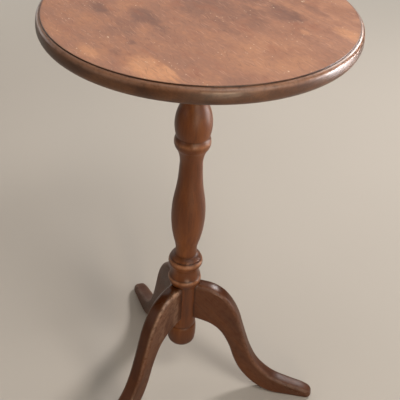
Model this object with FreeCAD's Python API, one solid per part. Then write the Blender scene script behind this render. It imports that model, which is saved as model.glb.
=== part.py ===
import FreeCAD, Part
import math
import os

# A round pillar table: an edge-moulded top of three glued boards on a mounting block, a turned column
# wedged into the block, and three S-shaped legs dowelled to the column's base.
# Millimetres. The origin is on the floor under the column's axis, +Z is up and one leg points along +X.

# Overall
TABLE_HEIGHT = 500.0
GLUE_GAP = 0.1
CUT_OVERRUN = 1.0

# Top
TOP_DIAMETER = 308.0
TOP_THICKNESS = 17.5
STEP_INSET = 4.5
STEP_DEPTH = 2.0
UNDERSIDE_INSET = 5.5
EDGE_WIDEST_SHARE = 0.4
FRONT_JOINT_OFFSET = 89.0
BACK_JOINT_OFFSET = 78.0
BOARD_NORMAL_ANGLE = 43.0

# Mounting block
BLOCK_DIAMETER = 120.0
BLOCK_THICKNESS = 20.0
BLOCK_EDGE_ROUND = 5.0

# Block screws
SCREW_COUNT = 4
SCREW_EDGE_DISTANCE = 18.0
SCREW_DIAMETER = 4.0
SCREW_LENGTH = 29.0
SCREW_HEAD_DIAMETER = 8.0
SCREW_HEAD_HEIGHT = 2.5
SCREW_POINT_LENGTH = 5.0
SCREW_SLOT_WIDTH = 1.0
SCREW_SLOT_DEPTH = 1.2

# Column
COLUMN_RADIUS = 20.0
BASE_RADIUS = 16.4
BASE_MARGIN_ABOVE_LEGS = 1.8
BASE_MARGIN_BELOW_LEGS = 13.0
DROP_LENGTH = 32.0
DROP_RADIUS = 17.4
SPIGOT_DIAMETER = 22.0

# Turned profile from the top of the base to the shoulder under the block. Each row is the edge to the
# next point: the first pair is the arc's middle, or None for a straight edge, and the second its end.
# A pair is a share of the shaft's length and a share of COLUMN_RADIUS.
SHAFT_PROFILE_SHARES = (
    ((0.017, 0.970), (0.036, 0.885)),
    (None, (0.037, 0.865)),
    (None, (0.039, 0.910)),
    ((0.063, 0.815), (0.089, 0.880)),
    ((0.107, 0.995), (0.124, 0.885)),
    (None, (0.125, 0.855)),
    (None, (0.127, 0.885)),
    ((0.136, 0.790), (0.144, 0.620)),
    ((0.177, 0.622), (0.214, 0.740)),
    ((0.310, 0.945), (0.423, 0.815)),
    ((0.490, 0.680), (0.542, 0.635)),
    ((0.583, 0.660), (0.616, 0.820)),
    ((0.643, 0.985), (0.667, 0.905)),
    (None, (0.669, 0.890)),
    ((0.715, 0.995), (0.789, 0.750)),
    ((0.820, 0.645), (0.860, 0.610)),
    ((0.925, 0.660), (0.965, 0.830)),
    ((0.985, 0.880), (1.000, 0.830)),
)
# The drop below the base, downwards, as shares of DROP_LENGTH and DROP_RADIUS.
DROP_PROFILE_SHARES = (
    (None, (0.045, 0.965)),
    ((0.420, 1.000), (0.740, 0.965)),
    ((0.920, 0.820), (1.000, 0.540)),
)
DROP_GROOVE_DEPTH = 0.8
DROP_GROOVE_RISE = 1.4

# Wedge in the spigot
WEDGE_LENGTH = 14.0
WEDGE_TOP_WIDTH = 2.4
WEDGE_TIP_WIDTH = 0.8

# Legs
LEG_NAMES = ("right", "back", "front")
LEG_THICKNESS = 18.0
LEG_REACH = 170.5
LEG_ROOT_TOP = 160.0
LEG_ROOT_BOTTOM = 109.0
LEG_ROOT_FALL = 8.0
LEG_ARRIS_ROUND = 2.5
FOOT_LENGTH = 42.5
TOE_ROUND = 9.0
TOE_FALL = 28.0
TOE_CORNER_ROUND = 5.0
SOLE_ROUND_MARGIN = 0.8
# Points of a leg's upper and lower edges: the share of the reach from the column's face, the share of
# the height of the leg's root on that edge, and the edge's fall there in degrees.
LEG_UPPER_SHARES = (
    (0.163, 0.968, 28.0),
    (0.303, 0.819, 61.5),
    (0.393, 0.582, 72.5),
    (0.495, 0.334, 61.5),
    (0.650, 0.179, 33.0),
    (0.809, 0.120, 16.5),
)
LEG_LOWER_SHARES = (
    (0.171, 0.908, 39.5),
    (0.285, 0.665, 66.0),
    (0.328, 0.495, 69.5),
    (0.421, 0.251, 51.0),
    (0.550, 0.081, 33.0),
)

# Dowels
DOWEL_DIAMETER = 8.0
DOWEL_LENGTH = 30.0
DOWEL_SEAT_IN_COLUMN = 10.5
DOWEL_END_CHAMFER = 0.8
DOWEL_LEVEL_SHARES = {"lower": 0.28, "upper": 0.72}

# Levels and radii that follow
TOP_RADIUS = TOP_DIAMETER / 2
TOP_UNDERSIDE = TABLE_HEIGHT - TOP_THICKNESS
BLOCK_UNDERSIDE = TOP_UNDERSIDE - BLOCK_THICKNESS
SCREW_CIRCLE_RADIUS = BLOCK_DIAMETER / 2 - SCREW_EDGE_DISTANCE
BASE_TOP = LEG_ROOT_TOP + BASE_MARGIN_ABOVE_LEGS
BASE_BOTTOM = LEG_ROOT_BOTTOM - BASE_MARGIN_BELOW_LEGS
SHAFT_LENGTH = BLOCK_UNDERSIDE - BASE_TOP
SPIGOT_RADIUS = SPIGOT_DIAMETER / 2
DOWEL_INNER_END = BASE_RADIUS - DOWEL_SEAT_IN_COLUMN

UP = FreeCAD.Vector(0, 0, 1)
ORIGIN = FreeCAD.Vector(0, 0, 0)


def point(radius, level):
    """Point in the XZ plane at a radius from the axis and a level above the floor."""
    return FreeCAD.Vector(radius, 0, level)


def line(start, end):
    """Straight edge."""
    return Part.LineSegment(start, end).toShape()


def arc(start, middle, end):
    """Circular edge through three points."""
    return Part.Arc(start, middle, end).toShape()


def polygon(points):
    """Closed straight edges through the points."""
    return [line(start, end) for start, end in zip(points, points[1:] + points[:1])]


def turned(edges):
    """Solid of revolution about the column's axis from a closed half profile."""
    return Part.Face(Part.Wire(edges)).revolve(ORIGIN, UP, 360)


def cylinder(radius, bottom, top):
    """Upright cylinder on the column's axis."""
    return Part.makeCylinder(radius, top - bottom, point(0, bottom), UP)


def about_axis(shape, angle):
    """Copy of a shape turned about the column's axis by an angle in degrees."""
    placed = shape.copy()
    placed.rotate(ORIGIN, UP, angle)
    return placed


def edge_arc(widest, end):
    """Arc that leaves the widest point of an edge upright and ends at a point nearer the axis."""
    inset = widest.x - end.x
    rise = end.z - widest.z
    radius = (inset ** 2 + rise ** 2) / (2 * inset)
    half_turn = math.asin(rise / radius) / 2
    middle = widest + point(radius * (math.cos(half_turn) - 1), radius * math.sin(half_turn))
    return arc(widest, middle, end)


def top_disc():
    """The whole top: a raised flat field, a small step down, and a rounded edge."""
    widest = point(TOP_RADIUS, TOP_UNDERSIDE + TOP_THICKNESS * EDGE_WIDEST_SHARE)
    step_foot = point(TOP_RADIUS - STEP_INSET, TABLE_HEIGHT - STEP_DEPTH)
    step_head = point(TOP_RADIUS - STEP_INSET, TABLE_HEIGHT)
    under_edge = point(TOP_RADIUS - UNDERSIDE_INSET, TOP_UNDERSIDE)
    return turned([
        line(point(0, TOP_UNDERSIDE), under_edge),
        edge_arc(widest, under_edge),
        edge_arc(widest, step_foot),
        line(step_foot, step_head),
        line(step_head, point(0, TABLE_HEIGHT)),
        line(point(0, TABLE_HEIGHT), point(0, TOP_UNDERSIDE)),
    ])


def board_slab(near, far):
    """Slab across the top between two offsets along the direction square to the grain."""
    slab = Part.makeBox(
        far - near,
        TOP_DIAMETER + CUT_OVERRUN * 2,
        TOP_THICKNESS + CUT_OVERRUN * 2,
        FreeCAD.Vector(near, -TOP_RADIUS - CUT_OVERRUN, TOP_UNDERSIDE - CUT_OVERRUN),
    )
    return about_axis(slab, BOARD_NORMAL_ANGLE)


def screw_places():
    """Angles of the block screws about the axis, between the grain and square to it."""
    pitch = 360 / SCREW_COUNT
    return [BOARD_NORMAL_ANGLE + pitch / 2 + pitch * index for index in range(SCREW_COUNT)]


def screw_blank(gap):
    """Countersunk screw without its slot, on the +X side of the screw circle, larger by a gap."""
    shank = SCREW_DIAMETER / 2 + gap
    head = SCREW_HEAD_DIAMETER / 2 + gap
    head_top = BLOCK_UNDERSIDE + SCREW_HEAD_HEIGHT
    tip = BLOCK_UNDERSIDE + SCREW_LENGTH + gap
    profile = polygon([
        point(0, BLOCK_UNDERSIDE),
        point(head, BLOCK_UNDERSIDE),
        point(shank, head_top),
        point(shank, tip - SCREW_POINT_LENGTH),
        point(0, tip),
    ])
    blank = turned(profile)
    blank.translate(point(SCREW_CIRCLE_RADIUS, 0))
    return blank


def block_screw():
    """Slotted countersunk wood screw, driven up through the block into the top."""
    slot = Part.makeBox(
        SCREW_HEAD_DIAMETER + CUT_OVERRUN * 2,
        SCREW_SLOT_WIDTH,
        SCREW_SLOT_DEPTH + CUT_OVERRUN,
        FreeCAD.Vector(
            SCREW_CIRCLE_RADIUS - SCREW_HEAD_DIAMETER / 2 - CUT_OVERRUN,
            -SCREW_SLOT_WIDTH / 2,
            BLOCK_UNDERSIDE - CUT_OVERRUN,
        ),
    )
    return screw_blank(0).cut(slot)


def screw_holes():
    """Clearance for all the block screws."""
    hole = screw_blank(GLUE_GAP)
    return [about_axis(hole, angle) for angle in screw_places()]


def top_boards():
    """The three boards of the top, split along the grain."""
    disc = top_disc()
    outside = TOP_RADIUS + CUT_OVERRUN
    spans = {
        "top_board_front": (-outside, -FRONT_JOINT_OFFSET),
        "top_board_middle": (-FRONT_JOINT_OFFSET, BACK_JOINT_OFFSET),
        "top_board_back": (BACK_JOINT_OFFSET, outside),
    }
    boards = {name: disc.common(board_slab(near, far)) for name, (near, far) in spans.items()}
    return {name: board.cut(screw_holes()) for name, board in boards.items()}


def mounting_block():
    """Round block with a rounded lower edge, the spigot's bore and the screw holes."""
    radius = BLOCK_DIAMETER / 2
    slant = BLOCK_EDGE_ROUND * (1 - math.sqrt(0.5))
    block = turned([
        line(point(0, BLOCK_UNDERSIDE), point(radius - BLOCK_EDGE_ROUND, BLOCK_UNDERSIDE)),
        arc(
            point(radius - BLOCK_EDGE_ROUND, BLOCK_UNDERSIDE),
            point(radius - slant, BLOCK_UNDERSIDE + slant),
            point(radius, BLOCK_UNDERSIDE + BLOCK_EDGE_ROUND),
        ),
        line(point(radius, BLOCK_UNDERSIDE + BLOCK_EDGE_ROUND), point(radius, TOP_UNDERSIDE)),
        line(point(radius, TOP_UNDERSIDE), point(0, TOP_UNDERSIDE)),
        line(point(0, TOP_UNDERSIDE), point(0, BLOCK_UNDERSIDE)),
    ])
    bore = cylinder(SPIGOT_RADIUS + GLUE_GAP, BLOCK_UNDERSIDE - CUT_OVERRUN, TOP_UNDERSIDE + CUT_OVERRUN)
    return block.cut([bore] + screw_holes())


def profile_edges(start, shares, to_point):
    """Edges of a turned profile from rows of shares, and the profile's last point."""
    edges = []
    for middle, end in shares:
        target = to_point(*end)
        if middle is None:
            edges.append(line(start, target))
        else:
            edges.append(arc(start, to_point(*middle), target))
        start = target
    return edges, start


def shaft_point(level_share, radius_share):
    """Point of the shaft's profile."""
    return point(COLUMN_RADIUS * radius_share, BASE_TOP + SHAFT_LENGTH * level_share)


def drop_point(level_share, radius_share):
    """Point of the drop's profile."""
    return point(DROP_RADIUS * radius_share, BASE_BOTTOM - DROP_LENGTH * level_share)


def wedge():
    """Tapered wedge across the spigot, cut to the spigot's round."""
    half_top = WEDGE_TOP_WIDTH / 2
    half_tip = WEDGE_TIP_WIDTH / 2
    tip = TOP_UNDERSIDE - WEDGE_LENGTH
    section = Part.Face(Part.Wire(polygon([
        FreeCAD.Vector(-half_top, -SPIGOT_RADIUS, TOP_UNDERSIDE),
        FreeCAD.Vector(half_top, -SPIGOT_RADIUS, TOP_UNDERSIDE),
        FreeCAD.Vector(half_tip, -SPIGOT_RADIUS, tip),
        FreeCAD.Vector(-half_tip, -SPIGOT_RADIUS, tip),
    ])))
    bar = about_axis(section.extrude(FreeCAD.Vector(0, SPIGOT_DIAMETER, 0)), BOARD_NORMAL_ANGLE)
    return bar.common(cylinder(SPIGOT_RADIUS, tip, TOP_UNDERSIDE))


def column():
    """The turned column, with its spigot, the wedge's kerf and the dowel holes."""
    base_top = point(BASE_RADIUS, BASE_TOP)
    base_bottom = point(BASE_RADIUS, BASE_BOTTOM)
    groove_top = point(BASE_RADIUS, BASE_BOTTOM + DROP_GROOVE_RISE)
    groove = point(BASE_RADIUS - DROP_GROOVE_DEPTH, base_bottom.z)
    shaft, shoulder = profile_edges(base_top, SHAFT_PROFILE_SHARES, shaft_point)
    drop, tip = profile_edges(groove, DROP_PROFILE_SHARES, drop_point)
    spigot_foot = point(SPIGOT_RADIUS, BLOCK_UNDERSIDE)
    spigot_head = point(SPIGOT_RADIUS, TOP_UNDERSIDE)
    turning = turned(
        [line(groove_top, base_top)]
        + shaft
        + [
            line(shoulder, spigot_foot),
            line(spigot_foot, spigot_head),
            line(spigot_head, point(0, TOP_UNDERSIDE)),
            line(point(0, TOP_UNDERSIDE), point(0, tip.z)),
            line(point(0, tip.z), tip),
        ]
        + drop[::-1]
        + [line(groove, groove_top)]
    )
    return turning.cut([wedge()] + dowel_holes())


def heading(fall):
    """Unit direction outwards that falls by an angle in degrees."""
    return point(math.cos(math.radians(fall)), -math.sin(math.radians(fall)))


def arc_along(start, direction, end):
    """Arc to an end point that leaves its start along a unit direction, as its three points."""
    chord = end - start
    lean = math.cos(direction.getAngle(chord))
    corner = start + direction * (chord.Length / (2 * lean))
    middle = (start + corner * (2 * lean) + end) / (2 + 2 * lean)
    return start, middle, end


def arc_pair(start, end):
    """Two arcs that join two places smoothly. A place is a point and the edge's fall there."""
    (first, first_fall), (last, last_fall) = start, end
    leave, arrive = heading(first_fall), heading(last_fall)
    span = last - first
    along = span.dot(leave + arrive)
    spread = 2 * (1 - leave.dot(arrive))
    reach = (math.sqrt(along ** 2 + spread * span.dot(span)) - along) / spread
    joint = (first + leave * reach + last - arrive * reach) / 2
    return [arc(*arc_along(first, leave, joint)), arc(*reversed(arc_along(last, -arrive, joint)))]


def smooth_edges(places):
    """Chain of tangent arcs through places along a leg's edge."""
    return [edge for start, end in zip(places, places[1:]) for edge in arc_pair(start, end)]


def leg_places(shares, root_height):
    """Places along a leg's edge from rows of shares."""
    reach = LEG_REACH - BASE_RADIUS
    return [(point(BASE_RADIUS + reach * out, root_height * up), fall) for out, up, fall in shares]


def toe_point(fall):
    """Point of the toe's nose where its edge falls by an angle in degrees."""
    centre = point(LEG_REACH - TOE_ROUND, LEG_ARRIS_ROUND + SOLE_ROUND_MARGIN)
    turn = math.radians(fall)
    return centre + point(TOE_ROUND * math.sin(turn), TOE_ROUND * math.cos(turn))


def leg_outline():
    """Closed outline of a leg in its own plane, from the column's axis out to the toe."""
    sole_round = LEG_ARRIS_ROUND + SOLE_ROUND_MARGIN
    sole_slant = sole_round * (1 - math.sqrt(0.5))
    upright = 90
    root_top = point(0, LEG_ROOT_TOP)
    face_top = point(BASE_RADIUS, LEG_ROOT_TOP)
    face_bottom = point(BASE_RADIUS, LEG_ROOT_BOTTOM)
    root_bottom = point(0, LEG_ROOT_BOTTOM + BASE_RADIUS * math.tan(math.radians(LEG_ROOT_FALL)))
    toe_start = toe_point(TOE_FALL)
    toe_end = toe_point(upright)
    sole_end = point(LEG_REACH - sole_round, 0)
    heel = point(LEG_REACH - FOOT_LENGTH, 0)
    upper = [(face_top, 0)] + leg_places(LEG_UPPER_SHARES, LEG_ROOT_TOP) + [(toe_start, TOE_FALL)]
    lower = [(face_bottom, LEG_ROOT_FALL)] + leg_places(LEG_LOWER_SHARES, LEG_ROOT_BOTTOM) + [(heel, 0)]
    return (
        [line(root_top, face_top)]
        + smooth_edges(upper)
        + [
            arc(toe_start, toe_point((TOE_FALL + upright) / 2), toe_end),
            arc(toe_end, point(LEG_REACH - sole_slant, sole_slant), sole_end),
            line(sole_end, heel),
        ]
        + smooth_edges(lower)[::-1]
        + [line(face_bottom, root_bottom), line(root_bottom, root_top)]
    )


def leg_plan():
    """Upright prism of a leg's plan, with the toe's corners rounded."""
    side = LEG_THICKNESS / 2
    inner = LEG_REACH - TOE_CORNER_ROUND
    slant = TOE_CORNER_ROUND * (1 - math.sqrt(0.5))
    flat_end = side - TOE_CORNER_ROUND
    plan = Part.Wire([
        line(FreeCAD.Vector(0, -side, 0), FreeCAD.Vector(inner, -side, 0)),
        arc(
            FreeCAD.Vector(inner, -side, 0),
            FreeCAD.Vector(LEG_REACH - slant, slant - side, 0),
            FreeCAD.Vector(LEG_REACH, -flat_end, 0),
        ),
        line(FreeCAD.Vector(LEG_REACH, -flat_end, 0), FreeCAD.Vector(LEG_REACH, flat_end, 0)),
        arc(
            FreeCAD.Vector(LEG_REACH, flat_end, 0),
            FreeCAD.Vector(LEG_REACH - slant, side - slant, 0),
            FreeCAD.Vector(inner, side, 0),
        ),
        line(FreeCAD.Vector(inner, side, 0), FreeCAD.Vector(0, side, 0)),
        line(FreeCAD.Vector(0, side, 0), FreeCAD.Vector(0, -side, 0)),
    ])
    return Part.Face(plan).extrude(point(0, LEG_ROOT_TOP))


def leg():
    """Leg along +X with rounded arrises, a root hollowed to the column and its dowel holes."""
    outline = Part.Face(Part.Wire(leg_outline()))
    outline.translate(FreeCAD.Vector(0, -LEG_THICKNESS / 2, 0))
    blank = outline.extrude(FreeCAD.Vector(0, LEG_THICKNESS, 0))
    arrises = [edge for edge in blank.Edges if edge.BoundBox.YLength < GLUE_GAP < edge.BoundBox.XMax]
    shaped = blank.makeFillet(LEG_ARRIS_ROUND, arrises).common(leg_plan())
    seat = cylinder(BASE_RADIUS + GLUE_GAP, 0, TABLE_HEIGHT)
    return shaped.cut([seat] + [dowel_blank(level, GLUE_GAP) for level in dowel_levels().values()])


def dowel_levels():
    """Levels of a leg's two dowels above the floor."""
    root_height = LEG_ROOT_TOP - LEG_ROOT_BOTTOM
    return {name: LEG_ROOT_BOTTOM + root_height * share for name, share in DOWEL_LEVEL_SHARES.items()}


def dowel_blank(level, gap):
    """Plain dowel along +X at a level, larger all over by a gap."""
    return Part.makeCylinder(
        DOWEL_DIAMETER / 2 + gap,
        DOWEL_LENGTH + gap * 2,
        point(DOWEL_INNER_END - gap, level),
        FreeCAD.Vector(1, 0, 0),
    )


def dowel(level):
    """Dowel with chamfered ends."""
    blank = dowel_blank(level, 0)
    rims = [edge for edge in blank.Edges if edge.BoundBox.XLength < GLUE_GAP]
    return blank.makeChamfer(DOWEL_END_CHAMFER, rims)


def leg_angles():
    """Angle of each leg about the column's axis."""
    pitch = 360 / len(LEG_NAMES)
    return {name: pitch * index for index, name in enumerate(LEG_NAMES)}


def dowel_holes():
    """Holes in the column for all the dowels."""
    return [
        about_axis(dowel_blank(level, GLUE_GAP), angle)
        for angle in leg_angles().values()
        for level in dowel_levels().values()
    ]


def all_parts():
    """Every piece of the table by its node's name."""
    parts = top_boards()
    parts["mounting_block"] = mounting_block()
    for index, angle in enumerate(screw_places(), start=1):
        parts[f"block_screw_{index}"] = about_axis(block_screw(), angle)
    parts["column"] = column()
    parts["spigot_wedge"] = wedge()
    one_leg = leg()
    for name, angle in leg_angles().items():
        parts[f"leg_{name}"] = about_axis(one_leg, angle)
        for place, level in dowel_levels().items():
            parts[f"dowel_{name}_{place}"] = about_axis(dowel(level), angle)
    return parts


def main():
    """Write one STEP file per piece."""
    os.makedirs("parts", exist_ok=True)
    for name, shape in all_parts().items():
        solids = shape.Solids
        if len(solids) != 1 or not shape.isValid():
            print(f"{name}: {len(solids)} solids, valid {shape.isValid()}")
        solids[0].exportStep(f"parts/{name}.step")


if __name__ == "__main__":
    main()
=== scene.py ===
"""A small round pillar table in dark stained wood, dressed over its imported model."""

import logging
import math
from collections.abc import Callable, Sequence
from dataclasses import dataclass
from enum import Enum

import bmesh
import bpy
from mathutils import Matrix, Vector

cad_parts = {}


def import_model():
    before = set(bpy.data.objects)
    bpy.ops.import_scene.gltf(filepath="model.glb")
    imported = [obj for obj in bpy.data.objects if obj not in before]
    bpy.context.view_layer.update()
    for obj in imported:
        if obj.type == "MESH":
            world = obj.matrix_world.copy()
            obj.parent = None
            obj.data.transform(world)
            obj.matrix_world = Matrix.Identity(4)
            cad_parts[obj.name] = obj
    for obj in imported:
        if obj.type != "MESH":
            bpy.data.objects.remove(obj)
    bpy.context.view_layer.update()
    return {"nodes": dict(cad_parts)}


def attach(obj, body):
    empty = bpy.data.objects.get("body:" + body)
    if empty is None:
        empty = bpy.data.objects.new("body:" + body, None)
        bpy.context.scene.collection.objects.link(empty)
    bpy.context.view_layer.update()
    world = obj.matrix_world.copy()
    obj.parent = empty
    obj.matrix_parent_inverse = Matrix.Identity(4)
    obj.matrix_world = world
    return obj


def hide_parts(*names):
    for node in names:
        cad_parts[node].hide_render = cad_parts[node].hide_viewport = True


LOG = logging.getLogger("wine_table")

MM = 0.001
BODY = "root"
TOUCHING = 0.001 * MM
LEG_SPACING = 120.0
LEG_SLOPE = 48.0
LEG_GRAIN_STEP = 0.37

Pair = tuple[float, float]
Triple = tuple[float, float, float]
Colour = Triple
Profile = tuple[tuple[Pair | None, Pair], ...]
Marks = tuple[Triple, ...]
BMesh = bmesh.types.BMesh
Socket = bpy.types.NodeSocket
Feed = Socket | float | Sequence[float]


class Layer(Enum):
    """Named values that a piece's vertices carry for its finish."""

    # Scuffs on rubbed edges, and painted highlight on the rim's upper band, the ring crests and the
    # front leg's arris
    WEAR_AND_HIGHLIGHT = "wear_and_highlight"
    # Painted shade at the step, at the legs' roots and in the column's grooves, with soiling in the
    # grooves
    DIRT_AND_SHADE = "dirt_and_shade"
    SMOOTH = "rubbed_smooth"


def srgb(red: int, green: int, blue: int) -> Colour:
    """Turn a display colour into the linear colour that a shader takes.

    Args:
        red: Red from 0 to 255.
        green: Green from 0 to 255.
        blue: Blue from 0 to 255.

    Returns:
        The linear colour.
    """
    red_light, green_light, blue_light = (
        part / 12.92 if part <= 0.04045 else ((part + 0.055) / 1.055) ** 2.4
        for part in (red / 255, green / 255, blue / 255)
    )
    return red_light, green_light, blue_light


class NodeSheet:
    """The shader nodes of one material, laid by short calls."""

    def __init__(self, name: str) -> None:
        """Start an empty sheet with a shader and an output.

        Args:
            name: The material's name.
        """
        self.material = bpy.data.materials.new(name)
        self.material.use_nodes = True
        self.tree = self.material.node_tree
        self.tree.nodes.clear()
        self.shader = self.tree.nodes.new("ShaderNodeBsdfPrincipled")
        self.output = self.tree.nodes.new("ShaderNodeOutputMaterial")
        self.tree.links.new(self.shader.outputs["BSDF"], self.output.inputs["Surface"])

    def feed(self, socket: Socket, value: Feed) -> None:
        """Link a socket to another, or set it.

        Args:
            socket: The input to fill.
            value: A socket to link from, or a constant.
        """
        if isinstance(value, Socket):
            self.tree.links.new(value, socket)
        elif socket.type == "RGBA":
            socket.default_value = (*value, 1.0)
        else:
            socket.default_value = value

    def place(self) -> Socket:
        """Return the piece's own coordinates, in metres."""
        return self.tree.nodes.new("ShaderNodeTexCoord").outputs["Object"]

    def layer(self, name: Layer) -> Socket:
        """Read a value that the vertices carry.

        Args:
            name: Which value.

        Returns:
            The value.
        """
        node = self.tree.nodes.new("ShaderNodeAttribute")
        node.attribute_name = name.value
        return node.outputs["Fac"]

    def mapping(
        self,
        vector: Feed,
        turn: Sequence[float] = (0.0, 0.0, 0.0),
        scale: Sequence[float] = (1.0, 1.0, 1.0),
        shift: Sequence[float] = (0.0, 0.0, 0.0),
    ) -> Socket:
        """Scale, turn and shift a place.

        Args:
            vector: The place.
            turn: Turn about each axis, in radians.
            scale: Scale along each axis, taken before the turn.
            shift: Shift, taken last.

        Returns:
            The new place.
        """
        node = self.tree.nodes.new("ShaderNodeMapping")
        self.feed(node.inputs["Vector"], vector)
        node.inputs["Rotation"].default_value = turn
        node.inputs["Scale"].default_value = scale
        node.inputs["Location"].default_value = shift
        return node.outputs["Vector"]

    def noise(
        self,
        vector: Feed,
        scale: Sequence[float],
        detail: float = 3.0,
        roughness: float = 0.5,
        distortion: float = 0.0,
        shift: Sequence[float] = (0.0, 0.0, 0.0),
    ) -> Socket:
        """Make smooth noise from 0 to 1.

        Args:
            vector: The place.
            scale: Features to a metre along each axis.
            detail: Number of finer octaves.
            roughness: Strength of the finer octaves.
            distortion: Swirl of the pattern.
            shift: Shift of the pattern, in features.

        Returns:
            The noise value.
        """
        node = self.tree.nodes.new("ShaderNodeTexNoise")
        self.feed(node.inputs["Vector"], self.mapping(vector, scale=scale, shift=shift))
        node.inputs["Scale"].default_value = 1.0
        node.inputs["Detail"].default_value = detail
        node.inputs["Roughness"].default_value = roughness
        node.inputs["Distortion"].default_value = distortion
        return node.outputs["Fac"]

    def cells(
        self, vector: Feed, scale: Sequence[float], shift: Sequence[float] = (0.0, 0.0, 0.0)
    ) -> tuple[Socket, Socket]:
        """Scatter points over XY and measure the distance to the nearest.

        Args:
            vector: The place.
            scale: Points to a metre along each axis.
            shift: Shift of the scatter, in points.

        Returns:
            The distance, and a number drawn once for each point.
        """
        node = self.tree.nodes.new("ShaderNodeTexVoronoi")
        node.voronoi_dimensions = "2D"
        self.feed(node.inputs["Vector"], self.mapping(vector, scale=scale, shift=shift))
        node.inputs["Scale"].default_value = 1.0
        return node.outputs["Distance"], node.outputs["Color"]

    def maths(self, operation: str, first: Feed, second: Feed = 0.0) -> Socket:
        """Combine two numbers.

        Args:
            operation: Name of the operation.
            first: First number.
            second: Second number.

        Returns:
            The result.
        """
        node = self.tree.nodes.new("ShaderNodeMath")
        node.operation = operation
        self.feed(node.inputs[0], first)
        self.feed(node.inputs[1], second)
        return node.outputs[0]

    def mixture(self, shares: Sequence[tuple[Feed, float]], start: float = 0.0) -> Socket:
        """Add up values, each by its share.

        Args:
            shares: The values with their shares.
            start: Number that they are added to.

        Returns:
            The sum.
        """
        total: Feed = start
        for value, share in shares:
            total = self.maths("ADD", self.maths("MULTIPLY", value, share), total)
        return total

    def spread(
        self, value: Feed, low: float, high: float, start: float = 0.0, end: float = 1.0
    ) -> Socket:
        """Map a range of a value smoothly to another, held at its ends.

        Args:
            value: The value.
            low: Value that gives start.
            high: Value that gives end.
            start: Result at low.
            end: Result at high.

        Returns:
            The mapped value.
        """
        node = self.tree.nodes.new("ShaderNodeMapRange")
        node.interpolation_type = "SMOOTHSTEP"
        self.feed(node.inputs["Value"], value)
        node.inputs["From Min"].default_value = low
        node.inputs["From Max"].default_value = high
        node.inputs["To Min"].default_value = start
        node.inputs["To Max"].default_value = end
        return node.outputs["Result"]

    def length(self, vector: Feed) -> Socket:
        """Measure a vector.

        Args:
            vector: The vector.

        Returns:
            Its length.
        """
        node = self.tree.nodes.new("ShaderNodeVectorMath")
        node.operation = "LENGTH"
        self.feed(node.inputs[0], vector)
        return node.outputs["Value"]

    def ramp(self, value: Feed, stops: Sequence[tuple[float, Colour]]) -> Socket:
        """Turn a number into a colour.

        Args:
            value: The number.
            stops: Rising places from 0 to 1 with their colours.

        Returns:
            The colour.
        """
        node = self.tree.nodes.new("ShaderNodeValToRGB")
        self.feed(node.inputs["Fac"], value)
        elements = node.color_ramp.elements
        while len(elements) < len(stops):
            elements.new(1.0)
        for element, (place, colour) in zip(elements, stops):
            element.position = place
            element.color = (*colour, 1.0)
        return node.outputs["Color"]

    def blend(self, factor: Feed, first: Feed, second: Feed) -> Socket:
        """Mix two colours.

        Args:
            factor: Share of the second colour.
            first: First colour.
            second: Second colour.

        Returns:
            The mixed colour.
        """
        node = self.tree.nodes.new("ShaderNodeMix")
        node.data_type = "RGBA"
        sockets = {socket.identifier: socket for socket in node.inputs}
        self.feed(sockets["Factor_Float"], factor)
        self.feed(sockets["A_Color"], first)
        self.feed(sockets["B_Color"], second)
        return next(socket for socket in node.outputs if socket.identifier == "Result_Color")

    def bump(self, height: Feed, depth: float) -> None:
        """Raise the surface by a height pattern.

        Args:
            height: The pattern, from 0 to 1.
            depth: Depth of the pattern, in metres.
        """
        node = self.tree.nodes.new("ShaderNodeBump")
        node.inputs["Strength"].default_value = 1.0
        node.inputs["Distance"].default_value = depth
        self.feed(node.inputs["Height"], height)
        self.tree.links.new(node.outputs["Normal"], self.shader.inputs["Normal"])

    def surface(
        self, colour: Feed, roughness: Feed, gloss: float = 0.5, metal: float = 0.0
    ) -> bpy.types.Material:
        """Fill the shader.

        Args:
            colour: Base colour.
            roughness: Roughness of the sheen.
            gloss: Strength of the sheen, set as a constant.
            metal: 1 for bare metal.

        Returns:
            The finished material.
        """
        self.feed(self.shader.inputs["Base Color"], colour)
        self.feed(self.shader.inputs["Roughness"], roughness)
        self.shader.inputs["Specular IOR Level"].default_value = gloss
        self.shader.inputs["Metallic"].default_value = metal
        return self.material


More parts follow.
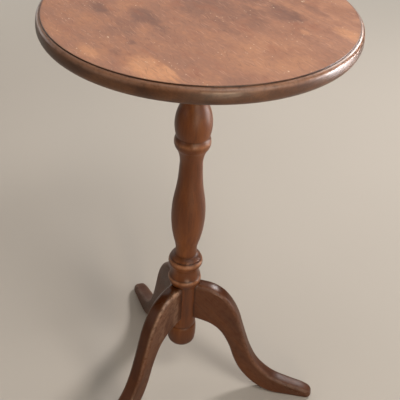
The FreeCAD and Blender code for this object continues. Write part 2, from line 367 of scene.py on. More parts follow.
@dataclass(frozen=True)
class DarkWood:
    """Dark stained and polished wood, with lines along the grain, scuffed edges lightened further by
    painted highlight, and painted shade with soiling in the hollows.
    """

    name: str
    turn: Triple = (0.0, 0.0, 0.0)
    shift: Triple = (0.0, 0.0, 0.0)
    deep: Colour = srgb(70, 34, 11)
    middle: Colour = srgb(98, 52, 19)
    pale: Colour = srgb(128, 74, 32)
    # Pale colour of scuffed edges, also used for painted highlight
    worn_and_highlight: Colour = srgb(152, 106, 78)
    # Dark colour of soiling, also used for painted shade
    dirt_and_shade_colour: Colour = srgb(34, 16, 9)
    scuff: Pair = (0.36, 0.62)
    roughness: float = 0.4
    rubbed: float = 0.1
    gloss: float = 0.4
    pore_depth: float = 0.06 * MM

    def material(self) -> bpy.types.Material:
        """Make the finish, with its grain along the turned X axis.

        Returns:
            The material.
        """
        sheet = NodeSheet(self.name)
        grain = sheet.mapping(sheet.place(), turn=self.turn, shift=self.shift)
        figure = sheet.noise(grain, (7, 60, 60), 4, 0.55, 0.5)
        lines = sheet.noise(grain, (18, 520, 520), 3, 0.6)
        pores = sheet.noise(grain, (90, 1900, 1900), 1)
        clouds = sheet.noise(grain, (14, 28, 28))
        scuffs = sheet.noise(grain, (160, 260, 260), 4, 0.65)
        tone = sheet.mixture(((figure, 0.55), (lines, 0.25), (clouds, 0.35)))
        colour = sheet.ramp(tone, ((0.38, self.deep), (0.58, self.middle), (0.78, self.pale)))
        pitted = sheet.spread(pores, 0.6, 0.72, 0.0, 0.45)
        colour = sheet.blend(pitted, colour, self.deep)
        # Scuffs, with painted highlight where the layer carries it
        edge = sheet.maths("MULTIPLY", sheet.layer(Layer.WEAR_AND_HIGHLIGHT), sheet.spread(scuffs, *self.scuff))
        colour = sheet.blend(edge, colour, self.worn_and_highlight)
        # Painted shade, with soiling in the grooves
        colour = sheet.blend(sheet.layer(Layer.DIRT_AND_SHADE), colour, self.dirt_and_shade_colour)
        sheen = sheet.spread(clouds, 0.3, 0.7, self.roughness - 0.06, self.roughness + 0.08)
        smooth = sheet.layer(Layer.SMOOTH)
        rough = sheet.mixture(((sheen, 1.0), (pitted, 0.25), (smooth, -self.rubbed)))
        sheet.bump(sheet.mixture(((lines, 0.4), (pitted, -1.0))), self.pore_depth)
        return sheet.surface(colour, rough, self.gloss)


@dataclass(frozen=True)
class Patch:
    """A soft-edged patch of the top, lighter or darker than the wood about it, in millimetres."""

    along: float
    across: float
    length: float
    width: float
    tone: float


@dataclass(frozen=True)
class WornTop:
    """The field of the top: faded wood under a thin worn finish, with streaks, scratches and specks."""

    name: str
    turn: float
    tone: float
    patches: tuple[Patch, ...] = ()
    specks: Marks = ()
    shift: Triple = (0.0, 0.0, 0.0)
    dull: Colour = srgb(142, 103, 88)
    middle: Colour = srgb(178, 127, 102)
    bright: Colour = srgb(222, 160, 118)
    ruddy: Colour = srgb(172, 112, 86)
    dent: Colour = srgb(104, 68, 54)
    scratch: Colour = srgb(226, 178, 150)
    speck: Colour = srgb(240, 215, 186)
    # Colour of the painted shade along the step
    dirt_and_shade_colour: Colour = srgb(24, 13, 9)
    roughness: float = 0.42
    gloss: float = 0.3
    pore_depth: float = 0.06 * MM
    dent_strokes: Marks = ((-4, 21.3, 0.35), (24, 33.9, 0.25))
    hair_strokes: Marks = ((3, 3.1, 0.5), (-9, 7.7, 0.4), (15, 12.9, 0.3))
    speck_squeeze: float = 1.6

    def material(self) -> bpy.types.Material:
        """Make the finish, with its grain along the turned X axis.

        Returns:
            The material.
        """
        sheet = NodeSheet(self.name)
        place = sheet.mapping(sheet.place(), turn=(0.0, 0.0, self.turn))
        grain = sheet.mapping(place, shift=self.shift)
        figure = sheet.noise(grain, (11, 90, 90), 5, 0.6, 0.6)
        lines = sheet.noise(grain, (45, 620, 620), 3, 0.6)
        blotch = sheet.noise(grain, (30, 42, 42), 4, 0.6, 0.3)
        pores = sheet.noise(grain, (110, 2100, 2100), 1)
        mottle = sheet.noise(grain, (180, 260, 260), 4, 0.7)
        stain = sheet.noise(grain, (34, 50, 50), 3, 0.6, shift=(2.0, 6.0, 0.0))
        shares = ((figure, 0.14), (lines, 0.12), (blotch, 0.34), (mottle, 0.28))
        tone = sheet.mixture(shares, self.tone)
        ragged = sheet.maths("MULTIPLY", sheet.maths("SUBTRACT", blotch, 0.5), 1.6)
        for patch in self.patches:
            tone = sheet.maths("ADD", tone, self.patch_tone(sheet, place, ragged, patch))
        colour = sheet.ramp(tone, ((0.24, self.dull), (0.46, self.middle), (0.74, self.bright)))
        colour = sheet.blend(sheet.spread(stain, 0.5, 0.72, 0.0, 0.5), colour, self.ruddy)
        pitted = sheet.spread(pores, 0.6, 0.7, 0.0, 0.3)
        colour = sheet.blend(pitted, colour, self.dull)
        colour = sheet.blend(self.strokes(sheet, place, self.dent_strokes), colour, self.dent)
        hairs = self.strokes(sheet, place, self.hair_strokes)
        colour = sheet.blend(hairs, colour, self.scratch)
        colour = sheet.blend(self.speckle(sheet, place), colour, self.speck)
        # Painted shade in a band along the step
        colour = sheet.blend(sheet.layer(Layer.DIRT_AND_SHADE), colour, self.dirt_and_shade_colour)
        sheen = sheet.spread(blotch, 0.3, 0.7, self.roughness - 0.06, self.roughness + 0.1)
        rough = sheet.mixture(((sheen, 1.0), (hairs, 0.2)))
        height = sheet.mixture(((lines, 0.4), (pitted, -1.0), (hairs, -0.8)))
        sheet.bump(height, self.pore_depth)
        return sheet.surface(colour, rough, self.gloss)

    def patch_tone(self, sheet: NodeSheet, place: Feed, ragged: Feed, patch: Patch) -> Socket:
        """Return the tone that one patch adds.

        Args:
            sheet: The material's nodes.
            place: Place along and across the grain.
            ragged: Noise that breaks the patch's outline.
            patch: The patch.

        Returns:
            The added tone.
        """
        scale = (1 / (patch.length * MM), 1 / (patch.width * MM), 0.0)
        shift = (-patch.along / patch.length, -patch.across / patch.width, 0.0)
        reach = sheet.length(sheet.mapping(place, scale=scale, shift=shift))
        return sheet.spread(sheet.maths("ADD", reach, ragged), 0.35, 1.15, patch.tone, 0.0)

    def strokes(self, sheet: NodeSheet, place: Feed, kinds: Marks) -> Socket:
        """Return a scatter of fine straight strokes, most of them near the grain's direction.

        Args:
            sheet: The material's nodes.
            place: Place along and across the grain.
            kinds: For each family of strokes its angle, its draw and its strength.

        Returns:
            The strokes, from 0 to 1.
        """
        total: Feed = 0.0
        for angle, seed, share in kinds:
            turned = sheet.mapping(place, turn=(0.0, 0.0, math.radians(angle)))
            reach, lot = sheet.cells(turned, (42, 540, 1), (seed, seed, 0.0))
            chosen = sheet.spread(lot, 0.7, 0.86, 0.0, share)
            stroke = sheet.maths("MULTIPLY", sheet.spread(reach, 0.24, 0.12), chosen)
            total = sheet.maths("MAXIMUM", total, stroke)
        return total

    def speckle(self, sheet: NodeSheet, place: Feed) -> Socket:
        """Chip the finish: a thin random scatter, and the larger chips one by one.

        Args:
            sheet: The material's nodes.
            place: Place along and across the grain.

        Returns:
            The chips, from 0 to 1.
        """
        chip, lot = sheet.cells(place, (190, 190, 1))
        gate = sheet.noise(place, (40, 40, 1), 2, 0.6, shift=(5.3, 1.7, 0.0))
        thinned = sheet.spread(gate, 0.5, 0.62, 0.0, 0.7)
        chosen = sheet.maths("MULTIPLY", sheet.spread(lot, 0.6, 0.7), thinned)
        total = sheet.maths("MULTIPLY", sheet.spread(chip, 0.14, 0.06), chosen)
        rough = sheet.noise(place, (900, 900, 1), 1)
        for along, across, size in self.specks:
            scale = (1 / (size * MM), self.speck_squeeze / (size * MM), 0.0)
            shift = (-along / size, -self.speck_squeeze * across / size, 0.0)
            reach = sheet.length(sheet.mapping(place, scale=scale, shift=shift))
            spot = sheet.spread(sheet.maths("ADD", reach, rough), 1.2, 0.7)
            total = sheet.maths("MAXIMUM", total, spot)
        return total


@dataclass(frozen=True)
class BareWood:
    """Pale bare wood of the hidden pegs and wedge."""

    name: str = "bare_peg_wood"
    dark: Colour = srgb(158, 118, 78)
    light: Colour = srgb(196, 158, 112)
    roughness: float = 0.7
    grain_depth: float = 0.1 * MM

    def material(self) -> bpy.types.Material:
        """Make the finish.

        Returns:
            The material.
        """
        sheet = NodeSheet(self.name)
        lines = sheet.noise(sheet.place(), (240, 240, 240), 4, 0.6, 0.4)
        sheet.bump(lines, self.grain_depth)
        return sheet.surface(sheet.ramp(lines, ((0.35, self.dark), (0.65, self.light))), self.roughness)


@dataclass(frozen=True)
class DullSteel:
    """Old steel of the screws, darkened in blotches."""

    name: str = "dull_screw_steel"
    dark: Colour = srgb(70, 64, 58)
    light: Colour = srgb(138, 134, 128)
    rough: float = 0.6
    bright: float = 0.35

    def material(self) -> bpy.types.Material:
        """Make the finish.

        Returns:
            The material.
        """
        sheet = NodeSheet(self.name)
        stain = sheet.noise(sheet.place(), (420, 420, 420), 4, 0.65)
        colour = sheet.ramp(stain, ((0.4, self.dark), (0.65, self.light)))
        sheen = sheet.spread(stain, 0.35, 0.65, self.rough, self.bright)
        return sheet.surface(colour, sheen, metal=1.0)


class OutlinePen:
    """Draws a chain of straight and round edges in the XZ plane with bmesh operators."""

    def __init__(self, bm: BMesh, start: Pair) -> None:
        """Put the pen down.

        Args:
            bm: The mesh to draw in.
            start: First point, as X and Z.
        """
        self.bm = bm
        self.tip = bm.verts.new((start[0], 0.0, start[1]))
        self.verts = [self.tip]
        self.heading = Vector((1.0, 0.0, 0.0))

    def flat(self, end: Pair) -> Vector:
        """Return a point of the drawing plane."""
        return Vector((end[0], 0.0, end[1]))

    def line(self, end: Pair, steps: int = 1) -> None:
        """Draw straight to a point.

        Args:
            end: The point, as X and Z.
            steps: Number of edges.
        """
        stride = (self.flat(end) - self.tip.co) / steps
        self.heading = stride.normalized()
        for _ in range(steps):
            made = bmesh.ops.extrude_vert_indiv(self.bm, verts=[self.tip])
            self.tip = made["verts"][0]
            bmesh.ops.translate(self.bm, verts=[self.tip], vec=stride)
            self.verts.append(self.tip)

    def arc(self, end: Pair, steps: int) -> None:
        """Draw a round edge that carries on smoothly and ends at a point.

        Args:
            end: The point, as X and Z.
            steps: Number of edges.
        """
        start = self.tip.co.copy()
        chord = self.flat(end) - start
        ahead = self.heading
        lean = math.atan2(ahead.x * chord.z - ahead.z * chord.x, ahead.dot(chord))
        if abs(lean) < 1e-4:
            self.line(end, steps)
            return
        radius = chord.length / (2 * math.sin(lean))
        centre = start + Vector((-ahead.z, 0.0, ahead.x)) * radius
        bmesh.ops.spin(
            self.bm, geom=[self.tip], cent=centre, axis=(0.0, -1.0, 0.0), angle=2 * lean, steps=steps,
            use_merge=False,
        )
        self.bm.verts.ensure_lookup_table()
        self.verts.extend(self.bm.verts[-steps:])
        self.tip = self.verts[-1]
        self.heading = Matrix.Rotation(2 * lean, 3, (0.0, -1.0, 0.0)) @ ahead

    def through(self, middle: Pair, end: Pair, steps: int) -> None:
        """Draw a round edge through one point to another.

        Args:
            middle: A point on the way, as X and Z.
            end: The last point, as X and Z.
            steps: Number of edges.
        """
        first = self.flat(middle) - self.tip.co
        second = self.flat(end) - self.flat(middle)
        half = math.atan2(first.x * second.z - first.z * second.x, first.dot(second))
        chord = (self.flat(end) - self.tip.co).normalized()
        self.heading = Matrix.Rotation(-half, 3, (0.0, -1.0, 0.0)) @ chord
        self.arc(end, steps)

    def sweep(self, end: Pair, fall: float, steps: int) -> None:
        """Draw two smooth round edges to a point and a direction there.

        Args:
            end: The point, as X and Z.
            fall: How far the edge falls there, in degrees.
            steps: Number of edges in each of the two.
        """
        first, last = self.tip.co.copy(), self.flat(end)
        leave = self.heading
        arrive = Vector((math.cos(math.radians(fall)), 0.0, -math.sin(math.radians(fall))))
        span = last - first
        along = span.dot(leave + arrive)
        bend = 2 * (1 - leave.dot(arrive))
        if bend < 1e-9:
            self.line(end, 2 * steps)
            return
        reach = (math.sqrt(along ** 2 + bend * span.dot(span)) - along) / bend
        joint = (first + leave * reach + last - arrive * reach) / 2
        self.arc((joint.x, joint.z), steps)
        self.arc(end, steps)
        self.heading = arrive


def new_layer(bm: BMesh, layer: Layer) -> bmesh.types.BMLayerItem:
    """Return a new value that a mesh's vertices carry."""
    return bm.verts.layers.float.new(layer.value)


def turn_solid(bm: BMesh, steps: int) -> None:
    """Spin a drawn half profile round the upright axis into a closed skin.

    Args:
        bm: Mesh that holds the profile only.
        steps: Number of faces round.
    """
    bmesh.ops.spin(
        bm, geom=bm.verts[:] + bm.edges[:], cent=(0.0, 0.0, 0.0), axis=(0.0, 0.0, 1.0),
        angle=2 * math.pi, steps=steps, use_merge=True,
    )
    bmesh.ops.remove_doubles(bm, verts=bm.verts[:], dist=TOUCHING)
    bmesh.ops.recalc_face_normals(bm, faces=bm.faces[:])


def put_in_scene(name: str, data: bpy.types.ID) -> bpy.types.Object:
    """Make an object and put it in the scene.

    Args:
        name: The object's name.
        data: Its mesh, lamp or camera.

    Returns:
        The object, at the origin.
    """
    item = bpy.data.objects.new(name, data)
    bpy.context.scene.collection.objects.link(item)
    return item


def finish_piece(
    bm: BMesh,
    name: str,
    node: str,
    materials: Sequence[bpy.types.Material],
    crease: float = 40.0,
) -> bpy.types.Object:
    """Make a shown piece from a mesh and let it stand for its CAD node.

    Args:
        bm: The finished mesh, which is freed.
        name: The piece's name.
        node: The CAD node that it stands for.
        materials: The piece's finishes in slot order.
        crease: Edges that turn by more degrees than this are drawn sharp.

    Returns:
        The piece.
    """
    for face in bm.faces:
        face.smooth = True
    for edge in bm.edges:
        edge.smooth = len(edge.link_faces) == 2 and edge.calc_face_angle() < math.radians(crease)
    mesh = bpy.data.meshes.new(name)
    bm.to_mesh(mesh)
    bm.free()
    for material in materials:
        mesh.materials.append(material)
    piece = put_in_scene(name, mesh)
    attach(piece, BODY)
    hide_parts(node)
    LOG.info("%s: %d faces", name, len(mesh.polygons))
    return piece


@dataclass
class TableTop:
    """The round top: three boards glued edge to edge, with a step and a rounded edge."""

    radius: float = 154.0 * MM
    height: float = 500.0 * MM
    thickness: float = 17.5 * MM
    step_inset: float = 4.5 * MM
    step_depth: float = 1.2 * MM
    step_round: float = 0.4 * MM
    underside_inset: float = 5.5 * MM
    widest_share: float = 0.4
    front_joint: float = -89.0 * MM
    back_joint: float = 78.0 * MM
    lip_band: float = 1.6 * MM
    # Painted shade: the step's wall darkened as a shadow line, and a band on the field darkened towards
    # it
    step_shade: float = 0.4
    lip_shade: float = 0.35
    # Painted highlight with scuffs on the rim's upper band, fading downwards
    rim_wear_and_highlight: float = 0.8
    rim_highlight_depth: float = 6.0 * MM
    grain_turn: float = math.radians(47.0)
    faces_round: int = 300

    def profile(self, bm: BMesh) -> None:
        """Draw the half profile from the middle of the field round to the middle of the underside.

        Args:
            bm: The mesh to draw in.
        """
        top, bottom = self.height, self.height - self.thickness
        wall = self.radius - self.step_inset
        foot = top - self.step_depth
        level = bottom + self.thickness * self.widest_share
        under = self.radius - self.underside_inset
        lip = self.step_round
        band = self.lip_band
        dirt_and_shade = new_layer(bm, Layer.DIRT_AND_SHADE)
        wear_and_highlight = new_layer(bm, Layer.WEAR_AND_HIGHLIGHT)
        pen = OutlinePen(bm, (0.0, top))
        pen.line((wall - band, top), steps=6)
        pen.line((wall - lip, top))
        pen.arc((wall, top - lip), steps=5)
        pen.line((wall, foot), steps=2)
        pen.heading = Vector((1.0, 0.0, 0.0))
        pen.sweep((self.radius, level), fall=90.0, steps=9)
        pen.arc((under, bottom), steps=12)
        pen.line((under - 2 * lip, bottom))
        pen.line((0.0, bottom), steps=4)
        for vert in pen.verts:
            fallen = top - vert.co.z
            past_wall = vert.co.x - wall
            below_lip = fallen > 1.5 * lip
            inside = (past_wall + band) / band
            # Painted shade on the step's wall and on a band of the field along it
            vert[dirt_and_shade] = 0.0
            if below_lip and abs(past_wall) < 10 * TOUCHING:
                vert[dirt_and_shade] = self.step_shade
            elif not below_lip and 0.0 < inside < 1.01:
                vert[dirt_and_shade] = self.lip_shade * inside
            # Painted highlight with scuffs, lightest at the top of the rim and fading downwards
            vert[wear_and_highlight] = 0.0
            if past_wall > 10 * TOUCHING:
                vert[wear_and_highlight] = self.rim_wear_and_highlight * max(0.0, 1.0 - fallen / self.rim_highlight_depth)

    def disc(self) -> BMesh:
        """Turn the whole top in one skin.

        Returns:
            Its closed mesh.
        """
        bm = bmesh.new()
        self.profile(bm)
        turn_solid(bm, self.faces_round)
        return bm

    def board(self, near: float | None, far: float | None) -> BMesh:
        """Cut one board from the disc.

        Args:
            near: Joint on the front side, or None at the edge.
            far: Joint on the back side, or None at the edge.

        Returns:
            The board's closed mesh.
        """
        bm = self.disc()
        across = Matrix.Rotation(-self.grain_turn, 3, "Z") @ Vector((0.0, 1.0, 0.0))
        for offset, outward in ((near, -1.0), (far, 1.0)):
            if offset is None:
                continue
            cut = bmesh.ops.bisect_plane(
                bm, geom=bm.verts[:] + bm.edges[:] + bm.faces[:], dist=TOUCHING,
                plane_co=across * offset, plane_no=across * outward, clear_outer=True,
            )
            rim = [item for item in cut["geom_cut"] if isinstance(item, bmesh.types.BMEdge)]
            bmesh.ops.contextual_create(bm, geom=rim)
        bmesh.ops.recalc_face_normals(bm, faces=bm.faces[:])
        wall = self.radius - self.step_inset
        for face in bm.faces:
            middle = face.calc_center_median()
            on_field = face.normal.z > 0.9 and middle.z > self.height - self.step_round
            face.material_index = 0 if on_field and middle.xy.length < wall else 1
        return bm

    def build(self, finishes: dict[str, WornTop], edge: DarkWood) -> None:
        """Make the three boards.

        Args:
            finishes: Field finish of each board.
            edge: Finish of the rounded edge and the underside.
        """
        edge_material = edge.material()
        spans = {
            "front": (None, self.front_joint),
            "middle": (self.front_joint, self.back_joint),
            "back": (self.back_joint, None),
        }
        for side, (near, far) in spans.items():
            materials = [finishes[side].material(), edge_material]
            board = self.board(near, far)
            finish_piece(board, f"{side}_board", f"top_board_{side}", materials)


@dataclass
class Column:
    """The turned column: a base for the legs with a drop below, beads and coves, a vase and an urn."""

    radius: float = 20.0 * MM
    base_radius: float = 16.4 * MM
    base_bottom: float = 96.0 * MM
    base_top: float = 161.8 * MM
    block_level: float = 462.5 * MM
    spigot_radius: float = 11.0 * MM
    spigot_top: float = 482.5 * MM
    drop_length: float = 32.0 * MM
    drop_radius: float = 17.4 * MM
    groove_depth: float = 0.8 * MM
    groove_rise: float = 1.4 * MM
    faces_round: int = 160
    edge_length: float = 1.6 * MM
    least_edges: int = 8
    crease: float = 50.0
    # Rows of an arc's middle, None where it is straight, and its end, as shares of height and radius.
    shaft_shares: Profile = (
        ((0.017, 0.970), (0.036, 0.885)),
        (None, (0.037, 0.865)),
        (None, (0.039, 0.910)),
        ((0.063, 0.815), (0.089, 0.880)),
        ((0.107, 0.995), (0.124, 0.885)),
        (None, (0.125, 0.855)),
        (None, (0.127, 0.885)),
        ((0.136, 0.790), (0.144, 0.620)),
        ((0.177, 0.622), (0.214, 0.740)),
        ((0.310, 0.945), (0.423, 0.815)),
        ((0.490, 0.680), (0.542, 0.635)),
        ((0.583, 0.660), (0.616, 0.820)),
        ((0.643, 0.985), (0.667, 0.905)),
        (None, (0.669, 0.890)),
        ((0.715, 0.995), (0.789, 0.750)),
        ((0.820, 0.645), (0.860, 0.610)),
        ((0.925, 0.660), (0.965, 0.830)),
        ((0.985, 0.880), (1.000, 0.830)),
    )
    drop_shares: Profile = (
        ((0.920, 0.820), (0.740, 0.965)),
        ((0.420, 1.000), (0.045, 0.965)),
    )
    drop_tip_share: float = 0.540
    # Dark bands: painted shade in the grooves, with soiling there, and where the dome meets the neck
    # below the vase; the last row darkens the drop
    # Rows of a share of the shaft's height, a strength and how far it reaches.
    dirt_and_shade_shares: Marks = (
        (0.037, 0.9, 0.8 * MM),
        (0.125, 0.9, 0.8 * MM),
        (0.669, 0.35, 0.8 * MM),
        (0.140, 0.4, 4.0 * MM),
        (-0.219, 0.5, 0.8 * MM),
        (-0.325, 0.4, 34.0 * MM),
    )
    # Ring crests lightened: scuffs with painted highlight
    crest_wear_and_highlight: Marks = (
        (0.0295, 0.85, 2.6 * MM),
        (0.115, 0.8, 2.8 * MM),
        (0.652, 0.6, 3.2 * MM),
    )

    def shaft(self, share: Pair) -> Pair:
        """Return a point of the shaft's profile."""
        return self.radius * share[1], self.base_top + (self.block_level - self.base_top) * share[0]

    def drop(self, share: Pair) -> Pair:
        """Return a point of the drop's profile."""
        return self.drop_radius * share[1], self.base_bottom - self.drop_length * share[0]

    def draw(self, pen: OutlinePen, rows: Profile, place: Callable[[Pair], Pair]) -> None:
        """Draw rows of a turned profile.

        Args:
            pen: The pen.
            rows: Pairs of an arc's middle, or None, and its end.
            place: Function from a pair of shares to a point.
        """
        for middle, end in rows:
            if middle is None:
                pen.line(place(end))
            else:
                reach = (pen.flat(place(end)) - pen.tip.co).length
                steps = max(self.least_edges, round(reach / self.edge_length))
                pen.through(place(middle), place(end), steps)

    def nearness(self, level: float, marks: Marks) -> float:
        """Return how strongly a height of the column is marked.

        Args:
            level: The height.
            marks: For each mark its share of the shaft, its strength and how far it reaches.

        Returns:
            The strength, from 0 to 1.
        """
        return max(
            strength * max(0.0, 1.0 - abs(level - self.shaft((share, 0.0))[1]) / reach)
            for share, strength, reach in marks
        )

    def build(self, finish: DarkWood) -> None:
        """Make the column.

        Args:
            finish: Its finish.
        """
        bm = bmesh.new()
        dirt_and_shade = new_layer(bm, Layer.DIRT_AND_SHADE)
        wear_and_highlight = new_layer(bm, Layer.WEAR_AND_HIGHLIGHT)
        smooth = new_layer(bm, Layer.SMOOTH)
        tip_level = self.base_bottom - self.drop_length
        pen = OutlinePen(bm, (0.0, tip_level))
        pen.line((self.drop_radius * self.drop_tip_share, tip_level), steps=2)
        self.draw(pen, self.drop_shares, self.drop)
        pen.line((self.base_radius - self.groove_depth, self.base_bottom))
        pen.line((self.base_radius, self.base_bottom + self.groove_rise))
        pen.line((self.base_radius, self.base_top), steps=12)
        self.draw(pen, self.shaft_shares, self.shaft)
        pen.line((self.spigot_radius, self.block_level), steps=2)
        pen.line((self.spigot_radius, self.spigot_top), steps=3)
        pen.line((0.0, self.spigot_top), steps=2)
        for vert in pen.verts:
            # Painted shade and soiling from the dark bands
            vert[dirt_and_shade] = self.nearness(vert.co.z, self.dirt_and_shade_shares)
            # Painted highlight with scuffs on the ring crests, which are also less rough
            vert[wear_and_highlight] = self.nearness(vert.co.z, self.crest_wear_and_highlight)
            vert[smooth] = vert[wear_and_highlight]
        turn_solid(bm, self.faces_round)
        finish_piece(bm, "turned_column", "column", [finish.material()], self.crease)


@dataclass
class Leg:
    """One S-shaped leg, sawn from a board, with rounded arrises and a root hollowed to the column."""

    name: str
    angle: float
    thickness: float = 18.0 * MM
    reach: float = 170.5 * MM
    root_radius: float = 16.5 * MM
    face: float = 16.4 * MM
    root_top: float = 161.0 * MM
    root_bottom: float = 109.0 * MM
    root_fall: float = 8.0
    root_blend: float = 9.0 * MM
    arris: float = 4.0 * MM
    arris_segments: int = 8
    cross_cuts: int = 7
    panel_inset: float = 0.3 * MM
    arris_wear: float = 0.16
    foot_length: float = 42.5 * MM
    toe_round: float = 8.1 * MM
    toe_fall: float = 28.0
    toe_corner: float = 6.5 * MM
    toe_blend: float = 26.0 * MM
    sole_round: float = 4.2 * MM
    steps: int = 6
    slice_width: float = 9.0 * MM
    crown: float = 1.2 * MM
    # A pale band on the top arris near the root: rubbing with painted highlight
    rub_and_highlight: float = 0.0
    rub_and_highlight_start: float = 20.0 * MM
    rub_and_highlight_end: float = 85.0 * MM
    knee_end: float = 75.0 * MM
    knee_fade: float = 30.0 * MM
    knee_tilt: float = 0.35
    arris_lean: float = 0.6
    arris_band: float = 0.55
    # Painted shade where the leg meets the column
    root_shade: float = 0.8
    root_shade_width: float = 1.5 * MM
    tuck: float = 1.0 * MM
    crease: float = 50.0
    # Rows of a share of the reach, a share of the root's height and the fall there in degrees.
    upper_shares: Marks = (
        (0.163, 0.968, 28.0),
        (0.303, 0.819, 61.5),
        (0.393, 0.582, 72.5),
        (0.495, 0.334, 61.5),
        (0.650, 0.179, 33.0),
        (0.809, 0.120, 16.5),
    )
    lower_shares: Marks = (
        (0.171, 0.908, 39.5),
        (0.285, 0.665, 66.0),
        (0.328, 0.495, 69.5),
        (0.421, 0.251, 51.0),
        (0.550, 0.081, 33.0),
    )

    def outline(self, bm: BMesh) -> None:
        """Draw the leg's side outline from the column out to the toe, above and below.

        Args:
            bm: The mesh to draw in.
        """
        side = self.thickness / 2
        inner = math.sqrt(self.root_radius ** 2 - side ** 2) - self.tuck
        run = self.reach - self.face
        toe_level = self.sole_round
        centre = self.reach - self.toe_round
        turn = math.radians(self.toe_fall)
        nose = (centre + self.toe_round * math.sin(turn), toe_level + self.toe_round * math.cos(turn))
        upper = OutlinePen(bm, (inner, self.root_top))
        upper.line((self.face, self.root_top), steps=3)
        for out, up, fall in self.upper_shares:
            upper.sweep((self.face + run * out, self.root_top * up), fall, self.steps)
        upper.sweep(nose, self.toe_fall, self.steps)
        upper.arc((self.reach, toe_level), steps=10)
        rise = (self.face - inner) * math.tan(math.radians(self.root_fall))
        lower = OutlinePen(bm, (inner, self.root_bottom + rise))
        lower.line((self.face, self.root_bottom), steps=3)
        for out, up, fall in self.lower_shares:
            lower.sweep((self.face + run * out, self.root_bottom * up), fall, self.steps)
        lower.sweep((self.reach - self.foot_length, 0.0), 0.0, self.steps)
        lower.line((self.reach - self.sole_round, 0.0), steps=10)
        lower.arc((self.reach, toe_level), steps=6)
        bm.edges.new((upper.verts[0], lower.verts[0]))
        bmesh.ops.remove_doubles(bm, verts=bm.verts[:], dist=0.01 * MM)

    def build(self, finish: DarkWood) -> None:
        """Make the leg.

        Args:
            finish: Its finish.
        """
        bm = bmesh.new()
        new_layer(bm, Layer.DIRT_AND_SHADE)
        new_layer(bm, Layer.WEAR_AND_HIGHLIGHT)
        self.outline(bm)
        side = self.thickness / 2
        bmesh.ops.contextual_create(bm, geom=bm.edges[:])
        bmesh.ops.translate(bm, verts=bm.verts[:], vec=(0.0, -side, 0.0))
        made = bmesh.ops.extrude_face_region(bm, geom=bm.faces[:])
        moved = [item for item in made["geom"] if isinstance(item, bmesh.types.BMVert)]
        bmesh.ops.translate(bm, verts=moved, vec=(0.0, self.thickness, 0.0))
        bmesh.ops.recalc_face_normals(bm, faces=bm.faces[:])
        self.round_arrises(bm)
        cross = [edge for edge in bm.edges if abs(edge.verts[0].co.y - edge.verts[1].co.y) > side]
        bmesh.ops.subdivide_edges(bm, edges=cross, cuts=self.cross_cuts, use_grid_fill=True)
        self.shape_ends(bm)
        panels = [face for face in bm.faces if abs(face.normal.y) > 0.999 and len(face.verts) > 20]
        bmesh.ops.inset_individual(bm, faces=panels, thickness=self.panel_inset, use_even_offset=True)
        self.slice_across(bm)
        self.crown_top(bm)
        self.mark(bm)
        turn = Matrix.Rotation(math.radians(self.angle), 3, "Z")
        bmesh.ops.rotate(bm, verts=bm.verts[:], cent=(0.0, 0.0, 0.0), matrix=turn)
        materials = [finish.material()]
        finish_piece(bm, f"{self.name}_leg", f"leg_{self.name}", materials, self.crease)

    def round_arrises(self, bm: BMesh) -> None:
        """Round the long edges of the leg's sides.

        Args:
            bm: The leg's mesh.
        """
        start = min(vert.co.x for vert in bm.verts) + 0.1 * MM
        edges = [
            edge for edge in bm.edges
            if abs(edge.verts[0].co.y - edge.verts[1].co.y) < 0.1 * MM
            and max(vert.co.x for vert in edge.verts) > start
        ]
        bmesh.ops.bevel(
            bm, geom=edges, offset=self.arris, offset_type="OFFSET", affect="EDGES",
            segments=self.arris_segments, profile=0.5, material=-1, clamp_overlap=False,
        )

    def shape_ends(self, bm: BMesh) -> None:
        """Hollow the root to the column's round and round the toe in plan.

        Args:
            bm: The leg's mesh.
        """
        start = min(vert.co.x for vert in bm.verts)
        flat = self.thickness / 2 - self.toe_corner
        for vert in bm.verts:
            place = vert.co
            near = max(0.0, 1 - (place.x - start) / self.root_blend)
            place.x += near * (math.sqrt(self.root_radius ** 2 - place.y ** 2) - start)
            past = min(1.0, max(0.0, abs(place.y) - flat) / self.toe_corner)
            inset = self.toe_corner * (1 - math.sqrt(1 - past ** 2))
            near = max(0.0, 1 - (self.reach - place.x) / self.toe_blend)
            place.x -= inset * near ** 2

    def slice_across(self, bm: BMesh) -> None:
        """Cut the sides across, so that the scuffs, painted highlight and painted shade stay where they
        are marked.

        Args:
            bm: The leg's mesh.
        """
        place = self.root_radius + 2 * MM
        while place < self.reach - self.toe_blend:
            bmesh.ops.bisect_plane(
                bm, geom=bm.verts[:] + bm.edges[:] + bm.faces[:], dist=TOUCHING,
                plane_co=(place, 0.0, 0.0), plane_no=(1.0, 0.0, 0.0),
            )
            place += self.slice_width

    def crown_top(self, bm: BMesh) -> None:
        """Round the leg's top across, highest along its middle.

        Args:
            bm: The leg's mesh.
        """
        bm.normal_update()
        side = self.thickness / 2
        shifts = {
            vert: vert.normal * self.crown * (vert.co.y / side) ** 2 * max(0.0, vert.normal.z)
            for vert in bm.verts if vert.co.xy.length > self.root_radius + self.tuck
        }
        for vert, shift in shifts.items():
            vert.co -= shift

    def mark(self, bm: BMesh) -> None:
        """Mark the scuffed arrises with the front leg's painted highlight, the knee rubbed smooth and
        painted shade at the root.

        Args:
            bm: The leg's mesh.
        """
        smooth = new_layer(bm, Layer.SMOOTH)
        wear_and_highlight = bm.verts.layers.float[Layer.WEAR_AND_HIGHLIGHT.value]
        dirt_and_shade = bm.verts.layers.float[Layer.DIRT_AND_SHADE.value]
        bm.normal_update()
        for vert in bm.verts:
            across, up = vert.normal.y, vert.normal.z
